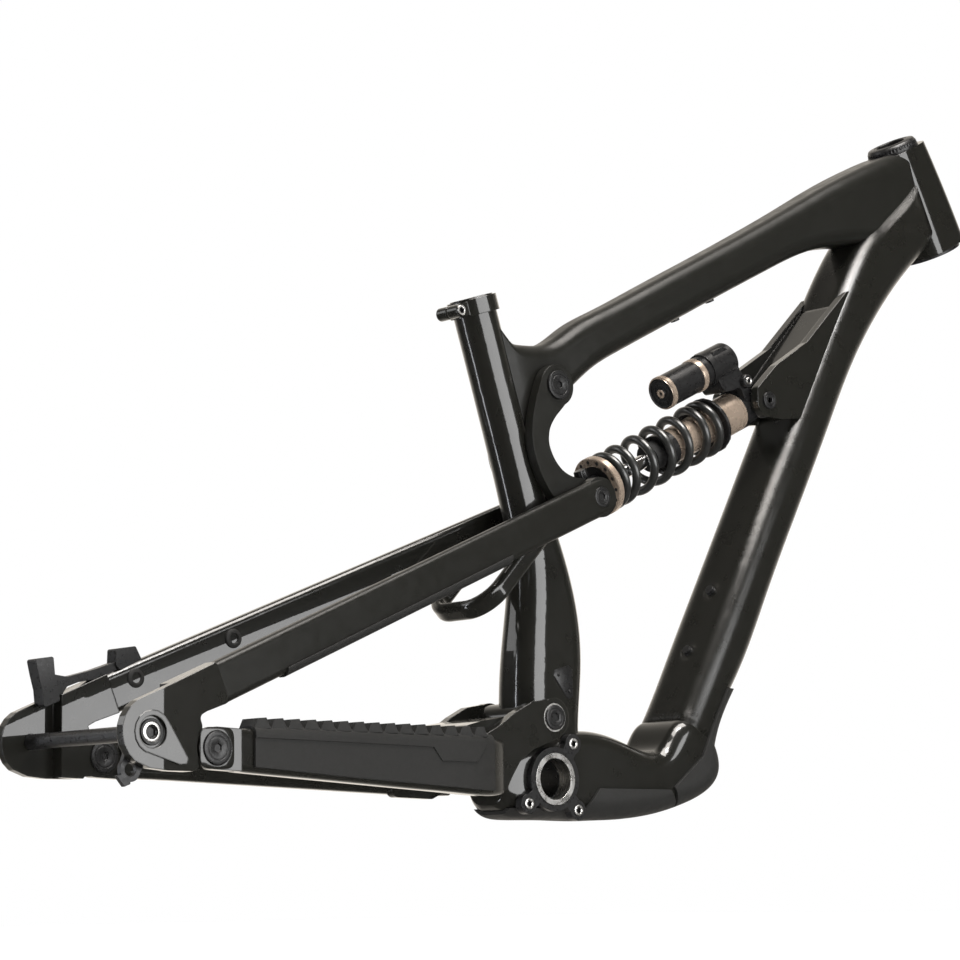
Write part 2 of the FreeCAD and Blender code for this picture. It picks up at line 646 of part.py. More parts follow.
# ---------------------------------------------------------------- chainstays
def chainstays():
    bolts = []
    bearings = []
    for word, side in SIDES.items():
        bar = loft(f"{word}_bar", "chain_drive" if side == DRIVE else "chain_plain", side)
        near, far = side * size("main_lug_inner"), side * size("main_lug_outer")
        elbow = plate(f"{word}_elbow", ELBOW, near, far, 7)
        lug = pin(f"{word}_lug", main_pivot, near, far, "main_lug_radius")
        inner, outer = side * size("rear_lug_inner"), side * size("rear_lug_outer")
        rear = pin(f"{word}_rear_lug", rear_pivot, inner, outer, "rear_lug_radius")
        cheek = plate(f"{word}_cheek", [(-385, -0.5), (-385, 31.5), (-362, 30.5), (-362, -1.5)],
                      inner, outer)
        blank = fuse(f"{word}_stay_solid", bar, elbow, lug, rear, cheek)
        tongue_room = pin(f"{word}_tongue_room", rear_pivot, side * 60, inner,
                          "rear_tongue_radius + 1.2")
        main_hole = pin(f"{word}_main_hole", main_pivot, side * 30, side * 50, "main_bearing_radius")
        rear_hole = pin(f"{word}_rear_hole", rear_pivot, side * 60, side * 90, "rear_bolt_radius")
        node(cut(f"{word}_chainstay_cut", blank, tongue_room, main_hole, rear_hole),
             f"{word}_chainstay")
        bearings.append(ring(f"{word}_main_bearing", main_pivot, near, far, "main_bearing_radius",
                             "main_axle_radius + running_gap"))
        if side == DRIVE:
            bolts.append(bolt("drive_rear_bolt", rear_pivot, outer, side, "rear_head_radius", 1.6,
                              "rear_bolt_radius", 18.4, 3))
        else:
            bolts.append(bolt("nondrive_rear_bolt", rear_pivot, 65.7, -side, "rear_head_radius", 1.6,
                              "rear_bolt_radius", 18.7, 3))
    node(group("main_bearings", *bearings), "main_pivot_bearings")
    node(group("rear_bolts", *bolts), "rear_pivot_bolts")
    half = size("main_lug_inner")
    yoke = [(-104, 22), (-100, 42), (-84, 46), (-48, 52), (-44, 26), (-56, 20)]
    node(plate("yoke", yoke, -half, half, 5), "chainstay_yoke")
    chain_guard()


def chain_guard():
    """Rubber cover over the drive chainstay with a row of ridges along its top."""
    bar = doc.getObject("drive_bar")
    skin = loft("guard_skin", "chain_drive", DRIVE, grow="2.4")
    keep = [(-350, 2), (-350, 60), (-86, 60), (-86, -11.5), (-97, -11.5), (-165, -8), (-240, -4.5), (-300, -1)]
    cover = common("guard_cover", skin, plate("guard_region", keep, -90, -41))
    panel = [(-350, 24), (-350, 31.5), (-98, 31), (-98, 25), (-110, 11), (-150, 11), (-160, 22), (-240, 23)]
    raised = common("guard_panel", loft("guard_thick", "chain_drive", DRIVE, grow="3.4"),
                    plate("panel_region", panel, -90, -50))
    first, last, count = -350.0, -94.0, 15
    pitch = (last - first) / count
    ridges = []
    for index in range(count):
        x = first + pitch * index
        share = (x + 300) / 205
        y = -69 + 20.5 * share
        top = 34.5 + 0.5 * share
        low = top - 3
        ridge = [(x, low), (x + 3.5, top + 4.6), (x + pitch * 0.66, top + 5.2), (x + pitch * 0.9, low)]
        ridges.append(plate(f"ridge{index}", ridge, y - 10, y + 10))
    node(cut("guard", fuse("guard_solid", cover, raised, *ridges), bar, doc.getObject("drive_chainstay_cut")),
         "chainstay_guard")


# ---------------------------------------------------------------- seatstays and dropouts
def arc_points(centre, radius, first, last, count):
    """Points (x, z) on an arc, for the concave and convex ends of the flat plates."""
    for index in range(count):
        turn = math.radians(first + (last - first) * index / (count - 1))
        yield centre.x + radius * math.cos(turn), centre.z + radius * math.sin(turn)


def seatstays():
    bearings = []
    caps = []
    ahead = box("ahead_of_stay", 70, 140, 90,
                Placement(link_low, Rotation(Vector(0, 1, 0), -22.4)).multiply(
                    Placement(Vector(0, -70, -45), Rotation())))
    nose_room = cut("nose_room", ahead, pin("nose_round", link_low, -70, 70, "stay_boss_radius"))
    for word, side in SIDES.items():
        bar = loft(f"{word}_seat_bar", "stay", side)
        inner, outer = side * size("stay_boss_inner"), side * size("stay_boss_outer")
        boss = pin(f"{word}_stay_boss", link_low, inner, outer, "stay_boss_radius")
        pocket = pin(f"{word}_stay_pocket", link_low, side * 20, side * size("pocket_floor"),
                     "pocket_radius")
        rocker_room = pin(f"{word}_rocker_room", link_low, 0, inner, "45")
        cap_in, cap_out = side * size("stay_cap_inner"), side * size("stay_cap_outer")
        cap_hole = pin(f"{word}_stay_cap_hole", link_low, cap_in, side * 60, "stay_cap_radius")
        trimmed = cut(f"{word}_stay_nose", bar, nose_room, rocker_room)
        node(cut(f"{word}_stay_cut", fuse(f"{word}_stay_blank", trimmed, boss), pocket, cap_hole),
             f"{word}_seatstay")
        caps.append(pin(f"{word}_stay_cap", link_low, cap_in, cap_out, "stay_cap_radius - 0.1"))
        dropout(word, side, bar)
        low, high = side * size("rear_tongue_inner"), side * size("rear_tongue_outer")
        bearings.append(ring(f"{word}_rear_bearing", rear_pivot, low, high, "rear_bearing_radius",
                             "rear_bolt_radius + running_gap"))
    node(group("rear_bearings", *bearings), "rear_pivot_bearings")
    node(group("stay_caps", *caps), "seatstay_pivot_caps")
    stay_bridge()
    strip = [(-312, 52), (-312, 79), (-60, 184), (-60, 160)]
    skin = common("strip_skin", loft("strip_fat", "stay", DRIVE, grow="2"),
                  plate("strip_region", strip, -90, -30))
    node(cut("strip", skin, doc.getObject("drive_seat_bar"), doc.getObject("bridge_blank")),
         "seatstay_guard")


def dropout(word, side, bar):
    """Forged end of a seatstay: outer plate round the axle, thick web, and a tongue to the pivot."""
    plate_in, plate_out = side * size("dropout_inner"), side * size("dropout_outer")
    tongue_in, tongue_out = side * size("rear_tongue_inner"), side * size("rear_tongue_outer")
    nose = list(arc_points(axle, 26.5, 105, 235, 9))
    foot = DROPOUT_FOOT + STAY_FRONT
    outline = [(-382.4, 80.2)] + nose + [(-446, -0.5), (-430, -2)] + foot
    web = [(-382.4, 80.2), (-424, 62.7), (-424, -1.5)] + foot
    tongue = [(-424, -1.5), (-385, 0.5), (-385, 30.5), (-396.5, 31)] + STAY_FRONT[:2] + [
        (-378, 48), (-384, 77), (-424, 61)]
    parts = [plate(f"{word}_end_plate", outline, plate_in, plate_out, 4),
             plate(f"{word}_end_web", web, tongue_in, plate_in),
             plate(f"{word}_end_tongue", tongue, tongue_in, tongue_out),
             pin(f"{word}_end_eye", rear_pivot, tongue_in, tongue_out, "rear_tongue_radius")]
    slant = Rotation(Vector(0, 0, 1), -side * 5.34)
    place = Placement(Vector(-434, plate_out, 0), slant).multiply(
        Placement(Vector(0, 0 if side > 0 else -20, -20), Rotation()))
    slope = box(f"{word}_end_slope", 80, 20, 120, place)
    if side == DRIVE:
        drop = list(arc_points(axle, 16, 30, 265, 12)) + TEARDROP_TAIL
        parts.append(plate("teardrop_pad", drop, plate_out, plate_out + side * 0.8, 1.5))
    lug_room = pin(f"{word}_lug_room", rear_pivot, side * (size("rear_tongue_outer") + 0.01),
                   side * 90, "rear_lug_radius + 1.2")
    bearing_hole = pin(f"{word}_end_bearing_hole", rear_pivot, side * 60, side * 90,
                       "rear_bearing_radius")
    axle_hole = pin(f"{word}_axle_hole", axle, side * 60, side * 90,
                    "dropout_hole" if side == DRIVE else "axle_radius")
    recess = pin(f"{word}_axle_recess", axle, plate_out - side * 2, plate_out + side * 2, "12")
    blank = fuse(f"{word}_end_blank", *parts[:4])
    sloped = [cut(f"{word}_end_sloped", blank, slope)] + parts[4:]
    solid = fuse(f"{word}_end_solid", *sloped) if len(sloped) > 1 else sloped[0]
    node(cut(f"{word}_dropout_cut", solid, lug_room, bearing_hole, axle_hole, recess, bar),
         f"{word}_dropout")


def stay_bridge():
    """U-shaped loop below the stays, behind the seat tube, swept in a tilted plane."""
    body = new_body("bridge_blank")
    slope = 46.2
    start = Vector(-14, 0, 204)
    turn = Rotation(Vector(0, 1, 0), 180 - slope)
    half, reach, bend = 36.5, 88.0, 25.0
    spine = sketch_on(body, "XY_Plane", "bridge_spine", Placement(start, turn))
    corner = Vector(reach - bend, half - bend, 0)
    spine.addGeometry(Part.LineSegment(Vector(0, half, 0), Vector(reach - bend, half, 0)), False)
    spine.addGeometry(Part.ArcOfCircle(Part.Circle(corner, UP, bend), 0, math.pi / 2), False)
    spine.addGeometry(Part.LineSegment(Vector(reach, half - bend, 0), Vector(reach, bend - half, 0)),
                      False)
    corner = Vector(reach - bend, bend - half, 0)
    spine.addGeometry(Part.ArcOfCircle(Part.Circle(corner, UP, bend), -math.pi / 2, 0), False)
    spine.addGeometry(Part.LineSegment(Vector(reach - bend, -half, 0), Vector(0, -half, 0)), False)
    across = turn.multiply(Rotation(Vector(0, 1, 0), 90))
    profile = sketch_on(body, "XY_Plane", "bridge_section",
                        Placement(start + Vector(0, half, 0), across))
    rounded_rectangle(profile, "17", "11", "5")
    doc.recompute()
    sweep = body.newObject("PartDesign::AdditivePipe", "bridge_sweep")
    sweep.Profile = profile
    sweep.Spine = (spine, [f"Edge{number}" for number in range(1, 6)])
    body.Tip = sweep
    doc.recompute()
    stays = [doc.getObject("drive_stay_blank"), doc.getObject("nondrive_stay_blank")]
    node(cut("bridge", body, *stays), "seatstay_bridge")


def rear_hardware():
    node(bolt("through_axle", axle, size("dropout_outer") - 2, NONDRIVE, "10", 3.5, "axle_radius",
              size("dropout_outer") - 2 + 82, 3), "rear_through_axle")
    sleeve = fuse("hanger_sleeve_solid", pin("hanger_sleeve", axle, -84, -74, "dropout_hole"),
                  pin("hanger_rim", axle, -85.2, -84, "dropout_hole + 1"))
    node(cut("hanger_sleeve_cut", sleeve, pin("hanger_thread", axle, -82, -74, "axle_radius"),
             pin("hanger_key", axle, -86, -82, "4.5")), "hanger_bolt")
    eye = Vector(HANGER_EYE[0], 0, HANGER_EYE[1])
    fall = (eye - axle).normalize()
    wide = Vector(-fall.z, 0, fall.x)
    web = [(p.x, p.z) for p in (axle + wide * 12.5, eye + wide * 8.5, eye - wide * 8.5,
                               axle - wide * 12.5)]
    inner, outer = -size("hub_half_width"), -size("dropout_inner")
    blank = fuse("hanger_solid", pin("hanger_ring", axle, outer, inner, "13"),
                 pin("hanger_lobe", eye, outer, inner, "9"),
                 plate("hanger_web", web, outer, inner),
                 plate("hanger_stop", [(-470, -6), (-463, -14), (-458, -12), (-458, -4)], outer, inner))
    node(cut("hanger", blank, pin("hanger_hole", axle, -90, -60, "dropout_hole"),
             pin("hanger_eye", eye, -90, -60, "5"), doc.getObject("drive_dropout_cut")),
         "derailleur_hanger")
    brake_mount()
    guides = []
    for word, side in SIDES.items():
        place = Placement(Vector(-356, side * 62 - 3.5, 76), Rotation(Vector(0, 1, 0), -22.4))
        block = box(f"{word}_guide_block", 13, 7, 8, place)
        bar = doc.getObject(f"{word}_seat_bar")
        guides.append(cut(f"{word}_guide", block, bar))
    node(group("guides", *guides), "cable_guides")


def brake_mount():
    """Adapter with two posts, 74.2 mm apart, each with a threaded hole, joined by a thin arm."""
    blank = fuse("adapter_blank", plate("adapter_rear", REAR_POST, 66.5, 79.5, 2),
                 plate("adapter_front", FRONT_POST, 66.5, 79.5, 2),
                 plate("adapter_arm", POST_ARM, 68.5, 77.5, 3))
    first, last = (Vector(x, 73, z) for x, z in POST_TOPS)
    run = (last - first).normalize()
    outward = Vector(-run.z, 0, run.x)
    holes = [cylinder(f"post_hole{index}", "3", str(POST_DEPTH + 6),
                      along(spot + outward * 6, outward * -1))
             for index, spot in enumerate((first, last))]
    node(cut("adapter", blank, *holes, doc.getObject("nondrive_seat_bar"),
             doc.getObject("nondrive_dropout_cut")), "brake_adapter")


# ---------------------------------------------------------------- rocker link
def rocker():
    inner, outer = size("rocker_inner"), size("rocker_outer")
    arms = []
    bearings = []
    bolts = []
    for word, side in SIDES.items():
        near, far = side * inner, side * outer
        arms.append(plate(f"{word}_arm", ROCKER, near, far, 60))
        arms.append(pin(f"{word}_arm_eye", link_top, near, far, "rocker_eye_radius"))
        arms.append(pin(f"{word}_arm_end", link_low, near, far, "rocker_end_radius"))
        bearings.append(ring(f"{word}_link_bearing", link_top, near, side * (outer - 2),
                             "rocker_bearing_radius", "link_axle_radius + running_gap"))
        bolts.append(pin(f"{word}_link_bolt", link_low, near, side * (size("pocket_floor") - 0.8),
                         "link_bolt_radius"))
    web = [(27, 237), (27, 247), (34, 247), (34, 235)]
    arms.append(plate("rocker_web", web, -inner - 2, inner + 2, 2))
    bearing_hole = pin("link_bearing_hole", link_top, -outer - 5, outer + 5, "rocker_bearing_radius")
    bolt_holes = [pin(f"{word}_link_bolt_hole", link_low, side * (inner - 1), side * (outer + 1),
                      "link_bolt_radius") for word, side in SIDES.items()]
    node(cut("rocker", fuse("rocker_solid", *arms), bearing_hole, *bolt_holes), "rocker_link")
    node(group("link_bearings", *bearings), "link_pivot_bearings")
    node(group("link_bolts", *bolts), "link_lower_bolts")


# ---------------------------------------------------------------- shock
def shock_body():
    node(tube("cylinder", on_shock(size("seal_end")), shock_axis, "cylinder_radius",
              "cylinder_bore", "cylinder_end - seal_end"), "shock_cylinder")
    node(tube("seal", on_shock(size("seal_at")), shock_axis, "seal_radius",
              "shaft_radius + running_gap", "seal_end - seal_at"), "shock_seal_head")
    node(tube("bump", on_shock(size("seal_at")), shock_axis * -1, "bump_radius",
              "shaft_radius + 0.3", "bump_length"), "shock_bump_stop")
    collar = fuse("collar_solid",
                  cylinder("collar_flange", "flange_radius", "flange_thick",
                           along(on_shock(size("collar_at")), shock_axis)),
                  cylinder("collar_sleeve", "collar_radius", "cylinder_end - collar_at",
                           along(on_shock(size("collar_at")), shock_axis)))
    thread = cylinder("collar_bore", "cylinder_radius + running_gap", "cylinder_end - collar_at",
                      along(on_shock(size("collar_at")), shock_axis))
    node(cut("collar", collar, thread), "preload_collar")

    start = size("cylinder_end")
    reservoir_line = (size("reservoir_rise"), size("reservoir_side"))
    end = size("reservoir_end")
    parts = [
        cylinder("head_barrel", "collar_radius", "14", along(on_shock(start), shock_axis)),
        pin("head_eye", shock_front, -size("eye_half_width"), size("eye_half_width"), "14"),
        plate("head_elbow", [(spot.x, spot.z) for spot in (on_shock(*pair) for pair in SHOCK_ELBOW)],
              -18, 8, 6),
        cylinder("head_clamp", "reservoir_radius + 1.2", "33",
                 along(on_shock(end, *reservoir_line), shock_axis)),
    ]
    dial_spot = on_shock(start + 9, 24)
    parts.append(pin("dial_post", dial_spot, -23, -8, "2.5"))
    bore = pin("head_eye_bore", shock_front, -30, 30, "eye_pin_radius")
    node(cut("shock_head_cut", fuse("shock_head_solid", *parts), bore), "shock_head")
    node(cut("dial", pin("dial_disc", dial_spot, -24.5, -18.05, "6.3"),
             pin("dial_bore", dial_spot, -23, -17, "2.5 + running_gap")), "compression_dial")
    length = "reservoir_end - reservoir_at"
    at = size("reservoir_at")
    node(cylinder("can", "reservoir_radius", length,
                  along(on_shock(at, *reservoir_line), shock_axis)), "reservoir")
    cap = fuse("cap_solid",
               cylinder("cap_disc", "reservoir_radius - 0.6", "3",
                        along(on_shock(at - 3, *reservoir_line), shock_axis)),
               cylinder("cap_valve", "3", "1.5",
                        along(on_shock(at - 4.5, *reservoir_line), shock_axis)))
    node(cap, "reservoir_cap")
    half = size("shock_pin_half")
    pin_blank = pin("front_spacer", shock_front, -half, half, "eye_pin_radius")
    hole = pin("front_spacer_bore", shock_front, -half, half, "4")
    node(cut("front_bush", pin_blank, hole), "shock_front_bush")


def shock_shaft():
    rod = fuse("rod_solid",
               cylinder("rod", "shaft_radius", "piston_at - retainer_at",
                        along(on_shock(size("retainer_at")), shock_axis)),
               cylinder("piston", "cylinder_bore - running_gap", "10",
                        along(on_shock(size("piston_at")), shock_axis)))
    node(rod, "shock_shaft")
    spot = on_shock(24, 8)
    eyelet = fuse("eyelet_solid",
                  pin("eyelet_eye", link_low, -size("eye_half_width"), size("eye_half_width"),
                      "eye_radius"),
                  cylinder("eyelet_neck", "11", "retainer_at - 4", along(on_shock(4), shock_axis)),
                  cylinder("eyelet_post", "2.5", "11", along(spot, shock_rise)))
    bore = pin("eyelet_bore", link_low, -30, 30, "eye_pin_radius")
    node(cut("eyelet", eyelet, bore), "shock_eyelet")
    dial = cylinder("rebound_disc", "6", "8", along(on_shock(24, 13), shock_rise))
    hole = cylinder("rebound_bore", "2.5 + running_gap", "7", along(on_shock(24, 12.5), shock_rise))
    node(cut("rebound", dial, hole), "rebound_dial")
    seat = size("retainer_at")
    plate_blank = cylinder("retainer_disc", "retainer_radius", "retainer_thick",
                           along(on_shock(seat), shock_axis))
    holes = [cylinder("retainer_bore", "shaft_radius", "retainer_thick",
                      along(on_shock(seat), shock_axis))]
    count = 10
    for index in range(count):
        turn = 2 * math.pi * index / count
        offset = shock_rise * (20 * math.cos(turn)) + Vector(0, 20 * math.sin(turn), 0)
        holes.append(cylinder(f"retainer_hole{index}", "2.4", "retainer_thick",
                              along(on_shock(seat) + offset, shock_axis)))
    node(cut("retainer", plate_blank, *holes), "spring_retainer")
    half = size("shock_pin_half")
    node(cut("rear_bush", pin("rear_spacer", link_low, -half, half, "eye_pin_radius"),
             pin("rear_spacer_bore", link_low, -half, half, "4")), "shock_rear_bush")
    coil_spring()


def coil_spring():
    """Open coil between the retainer and the preload collar."""
    wire = size("wire_radius")
    first = size("retainer_at") + size("retainer_thick") + wire + 0.15
    last = size("collar_at") - wire - 0.15
    turns = size("coil_turns")
    radius = size("coil_radius")
    helix = Part.makeLongHelix((last - first) / turns, last - first, radius)
    section = Part.Wire([Part.makeCircle(wire, Vector(radius, 0, 0), Vector(0, 1, 0))])
    coil = doc.addObject("Part::Feature", "coil")
    coil.Shape = Part.Wire(helix.Edges).makePipeShell([section], True, True)
    coil.Placement = along(on_shock(first), shock_axis)
    node(coil, "coil_spring")


def check_and_write():
    doc.recompute()
    for item in doc.Objects:
        state = [word for word in item.State if word in ("Invalid", "Error")]
        if state:
            raise RuntimeError(f"{item.Name} is {state}")
    os.makedirs("parts", exist_ok=True)
    for item in nodes:
        shape = item.Shape
        if shape.isNull() or not shape.isValid() or not shape.Solids:
            raise RuntimeError(f"{item.Label} has no valid solid")
        shape.exportStep(f"parts/{item.Label}.step")
        print(f"{item.Label:26s} solids {len(shape.Solids)}  volume {shape.Volume / 1000:9.2f} cm3")
    print(len(nodes), "nodes")


front_triangle()
headset()
seat_clamp()
front_pivots()
chainstays()
seatstays()
rear_hardware()
rocker()
shock_body()
shock_shaft()
check_and_write()
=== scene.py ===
import json
import math

import bmesh
import bpy
from mathutils import Matrix, Vector


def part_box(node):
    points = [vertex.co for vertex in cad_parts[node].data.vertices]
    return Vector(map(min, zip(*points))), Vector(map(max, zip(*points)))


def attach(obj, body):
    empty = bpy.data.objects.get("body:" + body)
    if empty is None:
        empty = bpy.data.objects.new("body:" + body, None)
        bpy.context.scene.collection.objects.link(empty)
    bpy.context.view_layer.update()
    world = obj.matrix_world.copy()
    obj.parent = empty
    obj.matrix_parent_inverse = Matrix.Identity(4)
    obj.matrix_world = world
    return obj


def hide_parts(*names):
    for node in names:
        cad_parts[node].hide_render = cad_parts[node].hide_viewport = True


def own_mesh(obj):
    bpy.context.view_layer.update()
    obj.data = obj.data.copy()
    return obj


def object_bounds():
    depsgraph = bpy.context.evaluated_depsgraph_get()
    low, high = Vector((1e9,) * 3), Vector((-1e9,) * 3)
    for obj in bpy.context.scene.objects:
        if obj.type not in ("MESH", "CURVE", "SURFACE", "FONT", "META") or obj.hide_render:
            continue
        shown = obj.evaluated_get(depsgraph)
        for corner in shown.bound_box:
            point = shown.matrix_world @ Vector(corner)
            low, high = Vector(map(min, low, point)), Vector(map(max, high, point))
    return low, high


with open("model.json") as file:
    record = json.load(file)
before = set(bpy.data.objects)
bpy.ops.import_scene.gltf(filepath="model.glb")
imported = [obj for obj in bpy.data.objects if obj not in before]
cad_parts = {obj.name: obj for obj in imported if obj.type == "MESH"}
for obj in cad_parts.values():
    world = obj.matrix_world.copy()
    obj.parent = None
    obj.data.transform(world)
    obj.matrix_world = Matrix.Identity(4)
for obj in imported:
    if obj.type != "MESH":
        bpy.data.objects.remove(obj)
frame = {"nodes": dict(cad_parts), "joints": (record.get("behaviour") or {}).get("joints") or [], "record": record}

# Full-suspension bicycle frame.  Metres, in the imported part's own frame: +X forward, +Y left, +Z up.
# Piece sizes are given in millimetres and scaled by MM.

MM = 0.001
DRIVE, NONDRIVE = -1, 1
cad_low, cad_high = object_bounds()
NODES = frame["nodes"]
JOINTS = {joint["name"]: joint for joint in frame["joints"]}
scene = bpy.context.scene
scene.view_settings.view_transform = "Standard"
scene.view_settings.look = "None"


def joint_point(name):
    return Vector(JOINTS[name]["pos_m"])


def middle(node):
    low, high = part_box(node)
    return (low + high) / 2


MAIN_PIVOT = joint_point("chainstay_main_pivot")
REAR_PIVOT = joint_point("seatstay_rear_pivot")
LINK_TOP = joint_point("rocker_upper_pivot")
SHOCK_FRONT = joint_point("shock_front_pivot")
SHOCK_AXIS = Vector(JOINTS["shock_stroke"]["axis"]).normalized()
SHOCK_RISE = Vector((-SHOCK_AXIS.z, 0, SHOCK_AXIS.x))
SHOCK_REAR = middle("shock_rear_bush")
SHOCK_REAR.y = 0.0
REAR_AXLE = middle("rear_through_axle")
REAR_AXLE.y = 0.0
PAD_FACE = -84.4


# ---------------------------------------------------------------- materials
class Shader:
    """A Principled material with a few helpers for procedural detail."""

    def __init__(self, name, color, roughness, metallic=0.0, coat=0.0, coat_roughness=0.03, edge=0.0):
        self.material = bpy.data.materials.new(name)
        self.material.use_nodes = True
        self.tree = self.material.node_tree
        self.shader = self.tree.nodes["Principled BSDF"]
        self.set("Base Color", (*color, 1.0))
        self.set("Roughness", roughness)
        self.set("Metallic", metallic)
        self.set("Coat Weight", coat)
        self.set("Coat Roughness", coat_roughness)
        self.place = self.tree.nodes.new("ShaderNodeTexCoord")
        self.edge = None
        if edge:
            self.edge = self.tree.nodes.new("ShaderNodeBevel")
            self.edge.samples = 4
            self.edge.inputs["Radius"].default_value = edge
            self.link(self.edge.outputs["Normal"], self.shader.inputs["Normal"])
            if coat:
                self.link(self.edge.outputs["Normal"], self.shader.inputs["Coat Normal"])

    def set(self, socket, value):
        self.shader.inputs[socket].default_value = value

    def node(self, kind, **values):
        made = self.tree.nodes.new(kind)
        for name, value in values.items():
            made.inputs[name.replace("_", " ")].default_value = value
        return made

    def link(self, source, target):
        self.tree.links.new(source, target)

    def noise(self, scale, detail=3.0, stretch=(1.0, 1.0, 1.0)):
        mapping = self.node("ShaderNodeMapping")
        mapping.inputs["Scale"].default_value = stretch
        self.link(self.place.outputs["Object"], mapping.inputs["Vector"])
        made = self.node("ShaderNodeTexNoise", Scale=scale, Detail=detail)
        self.link(mapping.outputs["Vector"], made.inputs["Vector"])
        return made

    def ramp(self, source, low, high, start=0.35, end=0.65):
        made = self.tree.nodes.new("ShaderNodeMapRange")
        made.inputs["From Min"].default_value = start
        made.inputs["From Max"].default_value = end
        made.inputs["To Min"].default_value = low
        made.inputs["To Max"].default_value = high
        self.link(source, made.inputs["Value"])
        return made.outputs["Result"]

    def vary_roughness(self, scale, low, high, detail=4.0, stretch=(1.0, 1.0, 1.0)):
        source = self.noise(scale, detail, stretch).outputs["Fac"]
        self.link(self.ramp(source, low, high), self.shader.inputs["Roughness"])

    def vary_color(self, scale, dark, light, detail=4.0, stretch=(1.0, 1.0, 1.0)):
        mix = self.tree.nodes.new("ShaderNodeMix")
        mix.data_type = "RGBA"
        mix.inputs[6].default_value = (*dark, 1.0)
        mix.inputs[7].default_value = (*light, 1.0)
        source = self.noise(scale, detail, stretch).outputs["Fac"]
        self.link(self.ramp(source, 0.0, 1.0), mix.inputs["Factor"])
        self.link(mix.outputs[2], self.shader.inputs["Base Color"])

    def bump(self, scale, strength, distance, detail=2.0, stretch=(1.0, 1.0, 1.0), coat=False):
        made = self.node("ShaderNodeBump", Strength=strength, Distance=distance)
        self.link(self.noise(scale, detail, stretch).outputs["Fac"], made.inputs["Height"])
        if self.edge:
            self.link(self.edge.outputs["Normal"], made.inputs["Normal"])
        self.link(made.outputs["Normal"], self.shader.inputs["Normal"])
        if coat:
            self.link(made.outputs["Normal"], self.shader.inputs["Coat Normal"])


def make_materials():
    made = {}
    for name, edge in (("carbon_gloss", 0.0012), ("carbon_shoulder", 0.011)):
        gloss = Shader(name, (0.0062, 0.0062, 0.0052), 0.3, coat=1.0, coat_roughness=0.012, edge=edge)
        gloss.set("Specular IOR Level", 0.12)
        gloss.vary_roughness(60, 0.26, 0.36)
        gloss.bump(420, 0.012, 0.0002, coat=True)
        made[name] = gloss
    satin = Shader("carbon_satin", (0.007, 0.007, 0.006), 0.34, edge=0.0014)
    satin.set("Specular IOR Level", 0.2)
    satin.vary_roughness(90, 0.28, 0.36)
    satin.bump(1100, 0.05, 0.0002)
    made["carbon_satin"] = satin
    alloy = Shader("black_anodised", (0.009, 0.009, 0.0092), 0.34, metallic=0.2, edge=0.0007)
    alloy.set("Specular IOR Level", 0.4)
    alloy.vary_roughness(300, 0.26, 0.38)
    alloy.bump(2600, 0.04, 0.0001)
    made["alloy_black"] = alloy
    rubber = Shader("guard_rubber", (0.011, 0.011, 0.0105), 0.55, edge=0.0009)
    rubber.set("Specular IOR Level", 0.22)
    rubber.vary_color(900, (0.01, 0.01, 0.0095), (0.0125, 0.0125, 0.012))
    rubber.vary_roughness(140, 0.5, 0.62)
    rubber.bump(2400, 0.12, 0.0001)
    made["guard_rubber"] = rubber
    sleeve = Shader("machined_sleeve", (0.72, 0.71, 0.69), 0.28, metallic=1.0, edge=0.0006)
    sleeve.vary_roughness(500, 0.2, 0.36, stretch=(0.2, 4.0, 0.2))
    sleeve.bump(900, 0.1, 0.0002, stretch=(0.1, 6.0, 0.1))
    made["sleeve_alloy"] = sleeve
    bronze = Shader("bronze_anodised", (0.3, 0.24, 0.19), 0.28, metallic=0.6)
    bronze.vary_roughness(120, 0.24, 0.31)
    made["bronze_anodised"] = bronze
    coil = Shader("coil_paint", (0.011, 0.0115, 0.011), 0.36, coat=0.5, coat_roughness=0.2)
    coil.vary_roughness(200, 0.28, 0.42)
    coil.bump(1200, 0.08, 0.0002)
    made["coil_steel"] = coil
    chrome = Shader("shaft_chrome", (0.8, 0.8, 0.81), 0.08, metallic=1.0)
    chrome.vary_roughness(400, 0.06, 0.14)
    made["shaft_chrome"] = chrome
    steel = Shader("turned_steel", (0.6, 0.59, 0.57), 0.3, metallic=1.0)
    steel.vary_roughness(800, 0.22, 0.4)
    made["bolt_steel"] = steel
    bumper = Shader("bumper_foam", (0.006, 0.006, 0.006), 0.85)
    bumper.bump(1500, 0.4, 0.0003)
    made["bumper"] = bumper
    return made


MATERIALS = make_materials()
SLOT_OF = {part["node"]: part["material_slot"] for part in frame["record"]["subparts"]}
GLOSSY = ("seat_tube", "head_tube", "drive_chainstay", "bottom_bracket_housing", "nondrive_seatstay",
          "drive_dropout", "nondrive_dropout", "shock_mount", "seatstay_bridge", "seat_clamp_collar",
          "nondrive_chainstay", "chainstay_yoke")
SATIN = ("top_tube", "drive_seatstay", "rocker_link")


def paint(obj, *shaders):
    obj.data.materials.clear()
    for shader in shaders:
        obj.data.materials.append(shader.material)


LOOKS = {name: "carbon_gloss" for name in GLOSSY}
LOOKS.update({name: "carbon_satin" for name in SATIN})
LOOKS["down_tube"] = "carbon_shoulder"
for name, obj in NODES.items():
    paint(obj, MATERIALS[LOOKS.get(name, SLOT_OF[name])])


# ---------------------------------------------------------------- mesh pieces
def place_along(origin, direction, hint=Vector((0, 0, 1))):
    """A matrix whose local Z runs along the direction from the origin."""
    z = Vector(direction).normalized()
    if abs(z.dot(hint)) > 0.98:
        hint = Vector((1, 0, 0))
    x = hint.cross(z).normalized()
    y = z.cross(x)
    turn = Matrix((x, y, z)).transposed().to_4x4()
    return Matrix.Translation(origin) @ turn


